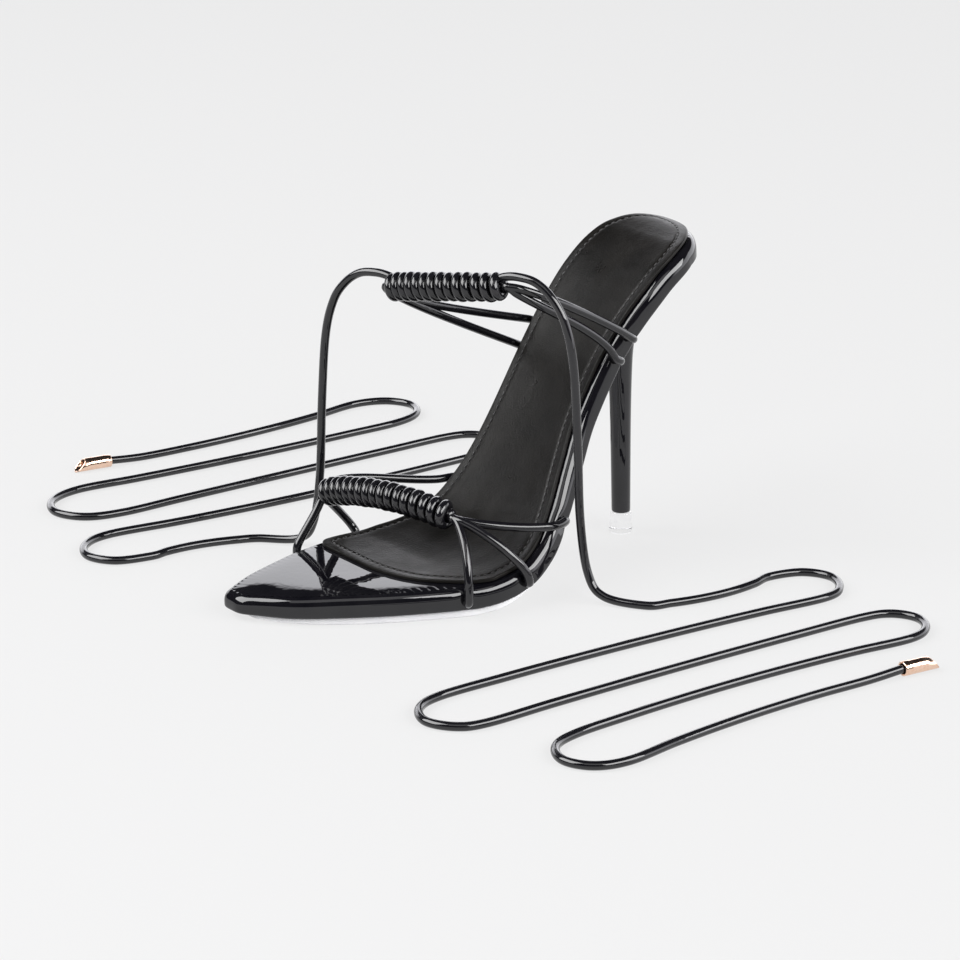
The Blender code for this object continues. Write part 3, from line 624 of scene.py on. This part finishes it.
def dense_stations(first, last):
    """Stations from back to front, close together at both ends."""
    share = 0.5 - 0.5 * np.cos(np.linspace(0.0, math.pi, OUTLINE_STATIONS))
    return first + (last - first) * share


# Meshes
def make_mesh(name, body, material):
    """A mesh with one material from a bmesh, which is freed."""
    mesh = bpy.data.meshes.new(name)
    body.to_mesh(mesh)
    body.free()
    mesh.materials.append(material)
    return mesh


def add_piece(name, body, material, replaced=(), sharp_angle=SHARP_ANGLE):
    """A finished piece of the shoe from its bmesh: it rides on the body and stands for its solids."""
    bmesh.ops.remove_doubles(body, verts=body.verts, dist=MERGE_DISTANCE)
    bmesh.ops.recalc_face_normals(body, faces=body.faces)
    mesh = make_mesh(name, body, material)
    mesh.shade_smooth()
    mesh.set_sharp_from_angle(angle=math.radians(sharp_angle))
    item = add_object(name, mesh)
    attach(item, "root")
    if replaced:
        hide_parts(*replaced)
    return item


def add_rows(body, rows, closed=True, caps=True):
    """Faces between rows of places; closed rows are rings, and caps close both ends."""
    made = [[body.verts.new(place) for place in row] for row in rows]
    count = len(made[0])
    for upper, lower in zip(made, made[1:]):
        for index in range(count if closed else count - 1):
            following = (index + 1) % count
            body.faces.new((upper[index], upper[following], lower[following], lower[index]))
    if caps:
        for ring in (made[0], made[-1]):
            middle = body.verts.new(sum((vert.co for vert in ring), Vector()) / count)
            for index in range(count):
                body.faces.new((ring[index], ring[(index + 1) % count], middle))


def add_sheet(body, loop, rings, fall=None):
    """A sheet on the platform: rings of (inset, depth function) from its top round to its underside.

    A fall sinks its top by a function of the distance from the outline.
    """
    rows = []
    for inset, depth in rings:
        ring = inset_loop(loop, inset)
        rows.append(on_platform(ring[:, 0], ring[:, 1], depth(ring[:, 1])))
    add_rows(body, rows, caps=False)
    half = OUTLINE_POINTS // 2
    across = np.linspace(0.0, 1.0, COLUMNS_ACROSS + 1)[None, :]
    for inset, depth in (rings[0], rings[-1]):
        ring = inset_loop(loop, inset)
        lateral = ring[:half + 1]
        medial = np.vstack([ring[:1], ring[:half - 1:-1]])
        x = lateral[:, :1] * (1 - across) + medial[:, :1] * across
        y = lateral[:, 1:] * (1 - across) + medial[:, 1:] * across
        sunk = depth(y)
        if fall and depth is rings[0][1]:
            gaps = np.stack([x, y], axis=-1)[:, :, None, :] - ring[None, None, ::RIM_STRIDE, :]
            sunk = fall(inset + np.sqrt((gaps ** 2).sum(axis=-1)).min(axis=-1), y)
        add_rows(body, on_platform(x, y, sunk), closed=False, caps=False)


def tube_frames(points):
    """Directions along a line of points and two directions square to it, without twist."""
    points = np.asarray(points, dtype=float)
    ahead = np.gradient(points, axis=0)
    ahead /= np.linalg.norm(ahead, axis=1)[:, None]
    side = np.cross(ahead[0], (0.0, 0.0, 1.0))
    if np.linalg.norm(side) < UPRIGHT:
        side = np.cross(ahead[0], (0.0, 1.0, 0.0))
    sides = []
    for direction in ahead:
        side = side - direction * side.dot(direction)
        side /= np.linalg.norm(side)
        sides.append(side)
    sides = np.array(sides)
    return points, ahead, sides, np.cross(sides, ahead)


def add_tube(body, points, radii, sides=CORD_SIDES):
    """A round cord along points, with a radius at each and slightly domed ends."""
    points, ahead, first, second = tube_frames(points)
    radii = np.broadcast_to(radii, len(points))
    angles = full_circle(sides)
    circle = first[:, None, :] * np.cos(angles)[None, :, None]
    circle = circle + second[:, None, :] * np.sin(angles)[None, :, None]
    rows = points[:, None, :] + circle * radii[:, None, None]
    start, end = [points[index] + sign * ahead[index] * radii[index] * DOME_HEIGHT
                  + circle[index] * radii[index] * DOME_WIDTH for index, sign in ((0, -1.0), (-1, 1.0))]
    add_rows(body, [start, *rows, end])


def bezier(points, count):
    start, first, second, end = points
    result = []
    for index in range(count + 1):
        share = index / count
        rest = 1.0 - share
        result.append(start * rest ** 3 + first * 3 * rest ** 2 * share
                      + second * 3 * rest * share ** 2 + end * share ** 3)
    return result


def smooth_route(route, count):
    """Evenly spaced points on the smooth curve through a route's own points."""
    knots = [Vector(point) for point in route]
    dense = []
    for index in range(len(knots) - 1):
        before = knots[max(index - 1, 0)]
        start, end = knots[index], knots[index + 1]
        after = knots[min(index + 2, len(knots) - 1)]
        for part in range(ROUTE_PARTS):
            share = part / ROUTE_PARTS
            dense.append(0.5 * (2 * start + (end - before) * share
                                + (2 * before - 5 * start + 4 * end - after) * share ** 2
                                + (3 * start - before - 3 * end + after) * share ** 3))
    dense.append(knots[-1])
    return resample(np.array(dense), count)


# The ties
def tie_route(side, lanes):
    """Points of a tie from the instep wrap's end down to the floor and along its lanes."""
    end, outward = wrap_end(INSTEP_WRAP, side)
    start = end + outward * TIE_START + Vector((0.0, 0.0, 2 * (CORD_RADIUS + CLEARANCE)))
    outward = Vector((outward.x, outward.y, 0.0)).normalized()
    route = []
    for out, height in TIE_FALL_ROWS:
        place = start + outward * (out * SHOE_LENGTH)
        route.append(Vector((place.x, place.y, start.z * height)))

    def on_floor(across, forward, height=CORD_RADIUS + FLOOR_GAP):
        place = Vector((side * across, forward, 0.0)) * SHOE_LENGTH
        place.z = height
        return place

    for lane, following in zip(lanes, lanes[1:] + (None,)):
        first, middle, last, begin, finish = lane
        for index in range(LANE_STEPS):
            share = index / LANE_STEPS
            bend = 4 * share * (1 - share) * (middle - (first + last) / 2)
            route.append(on_floor(first + (last - first) * share + bend, begin + (finish - begin) * share))
        if following:
            half = (following[0] - last) / 2
            reach = math.copysign(half * TURN_REACH, finish - begin)
            for index in range(TURN_STEPS):
                angle = math.pi * index / TURN_STEPS
                route.append(on_floor(last + half * (1 - math.cos(angle)), finish + reach * math.sin(angle)))
    end = on_floor(last, finish, TIP_RADIUS + FLOOR_GAP / 2)
    slope = last - first - 4 * (middle - (first + last) / 2)
    direction = Vector((side * slope, finish - begin, 0.0)).normalized()
    return route + [end - direction * TIP_GRIP, end]


def make_tie(name, route, material, tip):
    """A free tie: its first stretch comes out from under the last turn, its last is in its tip."""
    outward = (route[1] - route[0]).normalized()
    hidden = route[0] - outward * (CORD_RADIUS * HIDDEN_BACK)
    hidden.z -= CORD_RADIUS * HIDDEN_DROP
    points = smooth_route([hidden] + route[:-1], int(TIE_LENGTH / CORD_STEP))
    points = np.vstack([points, route[-1]])
    body = bmesh.new()
    add_tube(body, points, CORD_RADIUS)
    tie = add_piece(name + "_tie", body, material, ("tie_" + name,))


def make_tie_tip(name, route, material):
    """A metal sleeve on the end of a tie, open at both ends and cut slanting."""
    end = route[-1]
    direction = (end - route[-2]).normalized()
    start = end - direction * TIP_GRIP
    turn = direction.to_track_quat("Z", "Y").to_matrix()
    angles = full_circle(ROUND_SIDES)
    bore = TIP_RADIUS - TIP_WALL
    slant = (TIP_LENGTH - TIP_SHORT_SIDE) / (2 * TIP_RADIUS)
    middle = (TIP_LENGTH + TIP_SHORT_SIDE) / 2
    # Radius and place of each ring, where the place is a height over the start (kind 0), a share of
    # the way to the slanting end (1) or a height over that end (2)
    profile = [(bore, TIP_LIP, 0), (bore + TIP_LIP, 0.0, 0), (TIP_RADIUS - TIP_LIP, 0.0, 0),
               (TIP_RADIUS, TIP_LIP, 0)]
    profile += [(TIP_RADIUS, share, 1) for share in (0.25, 0.5, 0.75)]
    profile += [(TIP_RADIUS, -TIP_LIP, 2), (TIP_RADIUS - TIP_LIP, 0.0, 2), (bore + TIP_LIP, 0.0, 2),
                (bore, -TIP_LIP, 2)]
    profile += [(bore, share, 1) for share in (0.75, 0.5, 0.25)]
    rings = []
    for radius, place, kind in profile:
        across, up = radius * np.cos(angles), radius * np.sin(angles)
        far = middle - slant * up
        height = {0: np.full_like(up, place), 1: far * place, 2: far + place}[kind]
        rings.append([start + turn @ Vector(values) for values in zip(across, up, height)])
    body = bmesh.new()
    add_rows(body, rings + [rings[0]], caps=False)
    return add_piece(name + "_tie_tip", body, material, ("tie_tip_" + name,), METAL_SHARP_ANGLE)


# The straps
def wrap_line(wrap, count):
    """Points along the centre line of a wrap, from its medial end to its lateral end."""
    rows, rise_height = wrap
    medial, crown, lateral = [
        Vector((across * BALL_WIDTH, along(station),
                float(top_height(along(station))) + rise_height * share))
        for station, across, share in rows]
    control = crown * 2 - (medial + lateral) / 2
    return [medial * (1 - share) ** 2 + control * 2 * share * (1 - share) + lateral * share ** 2
            for share in np.linspace(0.0, 1.0, count)]


def wrap_end(wrap, side):
    """The end of a wrap's centre line and the direction in which it points out of the wrap."""
    line = wrap_line(wrap, SPAN_POINTS + 1)[::side]
    return line[-1], (line[-1] - line[-2]).normalized()


def wall_point(side, station, depth_share, out):
    """A point beside the platform's wall, at a share of its thickness down, a distance out."""
    y = along(station)
    step = 0.004
    slope = (half_width(station + step, side) - half_width(station - step, side)) / (2 * step * SHOE_LENGTH)
    outward = Vector((side, slope)).normalized()
    x = side * float(half_width(station, side)) + outward.x * out
    y += outward.y * out
    return Vector(on_platform(np.array(x), np.array(y), depth_share * platform_thickness(y)))


def tuck_points(side, station, meets):
    """The end of a strap leg: down the wall, then into it."""
    beside = CORD_RADIUS + WALL_GAP
    path = [wall_point(side, station, down, beside * out) for down, out in TUCK_ROWS[TUCK_STARTS[meets]:]]
    return path + [wall_point(side, station, TUCK_SHARE, -TUCK_DEPTH)]


def leg_points(wrap, leg):
    """A strap leg from inside its wrap to its tuck in the platform's wall."""
    side, station, out, back, up, wall_out, wall_back, wall_up, meets = leg
    end, outward = wrap_end(wrap, side)
    start = end + outward * LEG_START
    tuck = tuck_points(side, station, meets)
    first = start + (outward * out + Vector((0.0, back, up))) * CORD_RADIUS
    second = tuck[0] + Vector((side * wall_out, wall_back, wall_up)) * CORD_RADIUS
    span = bezier((start, first, second, tuck[0]), SPAN_POINTS)
    route = [end - outward * (CORD_RADIUS * HIDDEN_BACK), end] + span + tuck[1:]
    length = step_lengths(smooth_route(route, LINE_POINTS)).sum()
    return smooth_route(route, int(length / CORD_STEP))


def make_legs(name, wrap, legs, material):
    """The cords of a strap: its legs, and the core that they meet in under the turns."""
    body = bmesh.new()
    for leg in legs:
        add_tube(body, leg_points(wrap, leg), CORD_RADIUS)
    add_tube(body, wrap_line(wrap, CORE_POINTS), CORD_RADIUS)
    add_piece(name + "_strap", body, material, (name + "_cords",))


def waves(rows, phase):
    return sum(size * np.sin(pace * phase + start) for size, pace, start in rows)


def make_wrap(name, wrap, turns, material):
    """The close turns wound round a strap's core, each end closed by a turn drawn into its mouth."""
    core = np.array(wrap_line(wrap, LINE_POINTS))
    length = step_lengths(core).sum()
    inside = TURN_POINTS * turns
    closing = int(TURN_POINTS * KNOB_TURNS)
    step = np.arange(inside + 2 * closing + 1) - closing
    share = np.clip(step / inside, 0.0, 1.0)
    beyond = np.maximum(np.maximum(-step, step - inside), 0) / closing
    # Place of each point along the core, the closing turns past its ends
    margin = KNOB_ADVANCE * KNOB_ROOM
    at = margin + (length - 2 * margin) * (share - TURN_SPREAD * share * (1.0 - share))
    at += np.where(step < 0, -1.0, 1.0) * KNOB_ADVANCE * np.sin(0.5 * math.pi * beyond) * (beyond > 0)
    distance = np.linspace(0.0, length, LINE_POINTS)
    centre, ahead, across, up = [read_along(at, distance, rows)
                                 for rows in tube_frames(resample(core, LINE_POINTS))]
    centre = centre + ahead * (at - np.clip(at, 0.0, length))[:, None]
    # Radius of the cord, and the reach and angle of its middle round the core
    phase = -step / TURN_POINTS * 2 * math.pi
    thick = CORD_RADIUS * (1.0 + TURN_FATTER * (share - TURN_OWN_RADIUS))
    reach = (WRAP_RADIUS - thick) * (1.0 + waves(REACH_WAVES, phase))
    reach = reach + (KNOB_EYE - reach) * (beyond ** KNOB_CURVE)
    angle = phase + waves(ANGLE_WAVES, phase)
    line = centre + across * (np.cos(angle) * reach)[:, None] + up * (np.sin(angle) * reach)[:, None]
    body = bmesh.new()
    add_tube(body, line, thick, WINDING_SIDES)
    add_piece(name + "_winding", body, material, (name + "_wrap",))


# The sole and heel
def arc_steps(count):
    return [0.5 * math.pi * index / count for index in range(count + 1)]


def rounded(radius, count):
    """Inset and depth of each ring of a rounded edge, from its top round to its side."""
    return [(radius * (1 - math.sin(angle)), radius * (1 - math.cos(angle))) for angle in arc_steps(count)]


def press_dimples(body):
    """Presses the wall in softly where each strap leg goes into it."""
    places = [(wall_point(side, station, TUCK_SHARE, 0.0), wall_point(side, station, TUCK_SHARE, -1.0))
              for side, station, *_ in TOE_LEGS + INSTEP_LEGS]
    for vert in body.verts:
        for place, inner in places:
            distance = (vert.co - place).length
            if distance < 3 * DIMPLE_RADIUS:
                depth = DIMPLE_DEPTH * math.exp(-0.5 * (distance / DIMPLE_RADIUS) ** 2)
                vert.co += (inner - place).normalized() * depth


def toe_fall(y):
    """How far the pointed toe droops towards its tip."""
    return TOE_FALL * np.clip((station_at(y) - TOE_FALL_START) / (1.0 - TOE_FALL_START), 0.0, 1.0) ** 2


def crown_fall(distance, y):
    """How deep the platform's top lies at a distance from its outline."""
    return CROWN * np.exp((EDGE_ROUND - distance) / CROWN_WIDTH) + toe_fall(y)


def make_platform(material):
    loop = plan_loop(dense_stations(0.0, 1.0), half_width, PLATFORM_CORNER)
    drop = EDGE_DROP - CROWN * math.exp(EDGE_ROUND / CROWN_WIDTH)
    rings = []
    for angle in arc_steps(EDGE_ARC):
        inset = EDGE_ROUND * (1 - math.sin(angle))
        rings.append((inset, lambda y, i=inset, d=drop * (1 - math.cos(angle)): d + crown_fall(i, y)))
    for share in (0.25, 0.5, 0.75):
        rings.append((0.0, lambda y, s=share: (EDGE_DROP + toe_fall(y)) * (1 - s)
                      + (platform_thickness(y) - UNDER_ROUND) * s))
    for angle in arc_steps(UNDER_ARC):
        rings.append((UNDER_ROUND * (1 - math.cos(angle)),
                      lambda y, d=UNDER_ROUND * (1 - math.sin(angle)): platform_thickness(y) - d))
    body = bmesh.new()
    add_sheet(body, loop, rings, crown_fall)
    press_dimples(body)
    add_piece("platform_skin", body, material, ("platform",))


def sock_outline():
    back = SOCK_INSET / SHOE_LENGTH
    stations = dense_stations(back, SOCK_FRONT_ROWS[-1][0])
    gap = (stations > SOCK_FRONT_ROWS[0][0] - SOCK_JOIN) & (stations < SOCK_FRONT_ROWS[0][0])
    return plan_loop(stations[~gap], sock_width, SOCK_CORNER)


def make_sock(material):
    """The sock: a thin sheet with a rounded edge and a shallow groove under its stitching."""
    rings = []
    for share in np.linspace(1.0, -1.0, GROOVE_RINGS):
        dip = STITCH_GROOVE * (0.5 + 0.5 * math.cos(math.pi * share))
        rings.append((STITCH_INSET + GROOVE_HALF * share, dip - SOCK_THICKNESS))
    rings += [(inset, depth - SOCK_THICKNESS) for inset, depth in rounded(SOCK_RIM, SHEET_ARC)]
    rings.append((0.0, 0.0))
    rings = [(inset, lambda y, d=depth: d - CLEARANCE / 2 + 0 * y) for inset, depth in rings]
    body = bmesh.new()
    add_sheet(body, sock_outline(), rings)
    add_piece("sock_lining", body, material, ("sock",))


def make_stitches(material):
    """The thread that shows on the sock, stitch by stitch."""
    loop = inset_loop(sock_outline(), STITCH_INSET)
    depth = -SOCK_THICKNESS - CLEARANCE / 2 + STITCH_GROOVE * STITCH_LIE
    places = on_platform(loop[:, 0], loop[:, 1], depth + 0 * loop[:, 1])
    places = np.vstack([places, places[:1]])
    count = int(step_lengths(places).sum() / STITCH_STEP)
    line = resample(places, count * STITCH_POINTS + 1)
    visible = int(STITCH_POINTS * STITCH_LENGTH / STITCH_STEP) + 1
    shares = np.linspace(-1.0, 1.0, visible)
    radii = STITCH_RADIUS * np.sqrt(1.0 - STITCH_TAPER * shares ** 6)
    dive = STITCH_RADIUS * STITCH_DIVE * shares ** 4
    body = bmesh.new()
    for stitch in range(count):
        points = line[stitch * STITCH_POINTS: stitch * STITCH_POINTS + visible]
        normals = np.array([top_normal(point[1]) for point in points])
        add_tube(body, points - normals * dive[:, None], radii, THREAD_SIDES)
    add_piece("sock_stitches", body, material)


def make_outsole(material):
    """The outsole: a bevelled sheet from the heel's breast to short of the toe's blunt end."""
    breast = HEEL_MIDDLE - HEEL_TOP_FRONT - CLEARANCE
    first = float(station_at(top_place_over(np.array(breast), OUTSOLE_THICKNESS)))
    loop = plan_loop(dense_stations(first, OUTLINE_ROWS[-3][0]), half_width, OUTSOLE_CORNER)
    arch = (SOLE_DRAWN_FROM - station_at(loop[:, 1])) / (SOLE_DRAWN_FROM - SOLE_DRAWN_FULL)
    loop[:, 0] *= 1.0 - SOLE_DRAWN_IN * np.clip(arch, 0.0, 1.0)
    inset = OUTSOLE_INSET + UNDER_ROUND
    rings = [(inset, lambda y: platform_thickness(y) + CLEARANCE / 2),
             (inset, lambda y: platform_thickness(y) + CLEARANCE + outsole_thickness(y) * 0.5)]
    for angle in arc_steps(SHEET_ARC):
        rings.append((inset + OUTSOLE_BEVEL * (1 - math.cos(angle)),
                      lambda y, s=SOLE_WALL + (1 - SOLE_WALL) * math.sin(angle):
                      platform_thickness(y) + CLEARANCE + outsole_thickness(y) * s))
    body = bmesh.new()
    add_sheet(body, loop, rings)
    add_piece("outsole_sheet", body, material, ("outsole",))


def top_place_over(y, extra=0.0):
    """Where on the platform's top the normal starts that comes out under it at a place in plan."""
    source = y
    for _ in range(SEARCH_ROUNDS):
        depth = platform_thickness(source) + CLEARANCE + extra
        source = source + y - on_platform(0 * y, source, depth)[..., 1]
    return source


def under_point(x, y):
    source = top_place_over(y)
    return on_platform(x, source, platform_thickness(source) + CLEARANCE / 2)


def make_heel(material):
    """The stiletto: sections that follow the platform at the seat and stand level lower down."""
    bottom = HEEL_TIP_HEIGHT + CLEARANCE / 2
    level = float(under_point(np.array(0.0), np.array(HEEL_MIDDLE))[2])
    angles = full_circle(HEEL_SIDES)
    flare_end = HEEL_ROWS[HEEL_FLARE_ROW][0]
    drops = np.concatenate([np.linspace(0.0, flare_end, FLARE_SECTIONS, endpoint=False),
                            np.linspace(flare_end, 1.0, SHAFT_SECTIONS)])
    rows = []
    for drop in drops:
        *shares, power, follow = [smooth_rows(HEEL_ROWS, drop, column) for column in range(1, 6)]
        half, back, front = [HEEL_BASE_RADIUS + (top - HEEL_BASE_RADIUS) * share
                             for top, share in zip((HEEL_TOP_HALF, HEEL_TOP_BACK, HEEL_TOP_FRONT), shares)]
        lean = HEEL_LEAN * (1.0 - drop) * (1.0 - follow)
        across, behind = [np.copysign(np.abs(wave) ** (2 / power), wave)
                          for wave in (np.cos(angles), np.sin(angles))]
        y = HEEL_MIDDLE + np.where(behind > 0, back, front) * behind
        under = under_point(half * across, y)
        z = level + (bottom - level) * drop + (under[:, 2] - level) * follow
        rows.append(np.stack([half * across, y - lean, z], axis=1))
    rows = np.array(rows)
    for _ in range(HEEL_SMOOTHINGS):
        rows[1:-1] = 0.25 * rows[:-2] + 0.5 * rows[1:-1] + 0.25 * rows[2:]
    rows[-1, :, 2] += HEEL_FOOT_ROUND
    last = rows[-1].copy()
    centre = last.mean(axis=0)
    closing = []
    for angle in arc_steps(FOOT_ARC)[1:]:
        ring = centre + (last - centre) * (1 - HEEL_FOOT_ROUND * (1 - math.cos(angle)) / HEEL_BASE_RADIUS)
        ring[:, 2] = last[:, 2] - HEEL_FOOT_ROUND * math.sin(angle)
        closing.append(ring)
    body = bmesh.new()
    add_rows(body, [*rows, *closing])
    add_piece("heel_cover", body, material, ("heel",))


def make_heel_tip(material):
    """The clear top piece: a short cone with rounded rims under the heel."""
    rim = rounded(HEEL_TIP_BEVEL, FOOT_ARC)
    profile = [(HEEL_TIP_RADIUS - inset, height) for inset, height in rim]
    profile += [(HEEL_TIP_TOP - inset, HEEL_TIP_HEIGHT - height) for inset, height in reversed(rim)]
    angles = full_circle(ROUND_SIDES)
    rows = [np.stack([radius * np.cos(angles), HEEL_MIDDLE + radius * np.sin(angles),
                      0 * angles + height], axis=1) for radius, height in profile]
    body = bmesh.new()
    add_rows(body, rows)
    add_piece("heel_tip_cap", body, material, ("heel_tip",))


# The studio
def make_floor():
    """A wide pale floor that glows a little, so that it looks as bright as the backdrop."""
    material, tree, shader = new_material("studio_floor", Roughness=0.9, Specular_IOR_Level=0.05,
                                          Emission_Strength=1.0)
    speckle = noise(tree, 0.6, 2.0)
    tree.links.new(two_colours(tree, speckle, *FLOOR_GREYS), shader.inputs["Base Color"])
    tree.links.new(two_colours(tree, speckle, *FLOOR_GLOWS), shader.inputs["Emission Color"])
    body = bmesh.new()
    bmesh.ops.create_circle(body, cap_ends=True, segments=FLOOR_SIDES, radius=FLOOR_RADIUS)
    floor = add_object("studio_floor", make_mesh("studio_floor", body, material))


def make_world():
    """A dark studio with a bright backdrop behind the shoe that ends in a soft upper edge."""
    world = bpy.data.worlds.new("studio")
    bpy.context.scene.world = world
    world.use_nodes = True
    tree = world.node_tree
    place = tree.nodes.new("ShaderNodeTexCoord")
    split = tree.nodes.new("ShaderNodeSeparateXYZ")
    tree.links.new(place.outputs["Generated"], split.inputs[0])
    facing = add_node(tree, "ShaderNodeVectorMath", operation="DOT_PRODUCT")
    tree.links.new(place.outputs["Generated"], facing.inputs[0])
    facing.inputs[1].default_value = BACKDROP_WAY
    behind = mapped(tree, facing.outputs["Value"], 0.0, 1.0, 0.0, BACKDROP_FULL)
    low = mapped(tree, split.outputs["Z"], 1.0, 0.0, *BACKDROP_FADE)
    ring = mapped(tree, split.outputs["Z"], RING_SHARE, 0.0, *RING_FADE)
    pale = two_values(tree, "MAXIMUM", two_values(tree, "MULTIPLY", behind, low), ring)
    background = tree.nodes["Background"]
    tree.links.new(two_colours(tree, pale, *WORLD_TONES, 0.0, 1.0), background.inputs["Color"])
    background.inputs["Strength"].default_value = WORLD_GLOW


def add_softbox(name, place, target, size, radiance):
    """A rectangular soft light that gives the same brightness however large it is."""
    data = bpy.data.lights.new(name, "AREA")
    data.shape = "RECTANGLE"
    data.size, data.size_y = size
    data.energy = radiance * math.pi * size[0] * size[1]
    aim(add_object(name, data), place, target)


make_camera()
cord_black = make_patent("black_glossy_cord", ripple=0.02, peel=0.05, coat_roughness=0.012, under_coat=0.05)
rose_gold = make_plain("rose_gold_metal", ROSE_GOLDS, (700.0, 5.0, 0.6), (0.10, 0.22),
                       (1800.0, 2.0, 0.00003, 0.5), Metallic=1.0)
for name, side, lanes in (("lateral", 1, LANES_LATERAL), ("medial", -1, LANES_MEDIAL)):
    line = tie_route(side, lanes)
    make_tie(name, line, cord_black, make_tie_tip(name, line, rose_gold))

make_platform(make_patent("black_patent", ripple=0.035, peel=0.035, coat_roughness=0.004, under_coat=0.0))
make_heel(make_patent("black_heel_patent", ripple=0.012, peel=0.03, coat_roughness=0.010, under_coat=0.0))
make_heel_tip(make_plain("clear_heel_tip", CLEAR_TINTS, (500.0, 3.0), (0.02, 0.07),
                         (500.0, 2.0, 0.0001, 0.2), Transmission_Weight=1.0, IOR=1.30))
make_sock(make_lining())
make_stitches(make_plain("black_thread", THREAD_BLACKS, (6000.0, 2.0), (0.35, 0.55),
                         (6000.0, 2.0, 0.00008, 0.8), Sheen_Weight=0.2))
make_outsole(make_plain("white_outsole", SOLE_WHITES, (160.0, 5.0), (0.38, 0.50),
                        (2200.0, 3.0, 0.00005, 0.6), Specular_IOR_Level=0.45))
for name, wrap, legs, turns in STRAPS:
    make_legs(name, wrap, legs, cord_black)
    make_wrap(name, wrap, turns, cord_black)

make_floor()
make_world()
for softbox in SOFTBOXES:
    add_softbox(*softbox)
bpy.context.scene.view_settings.view_transform = "Standard"
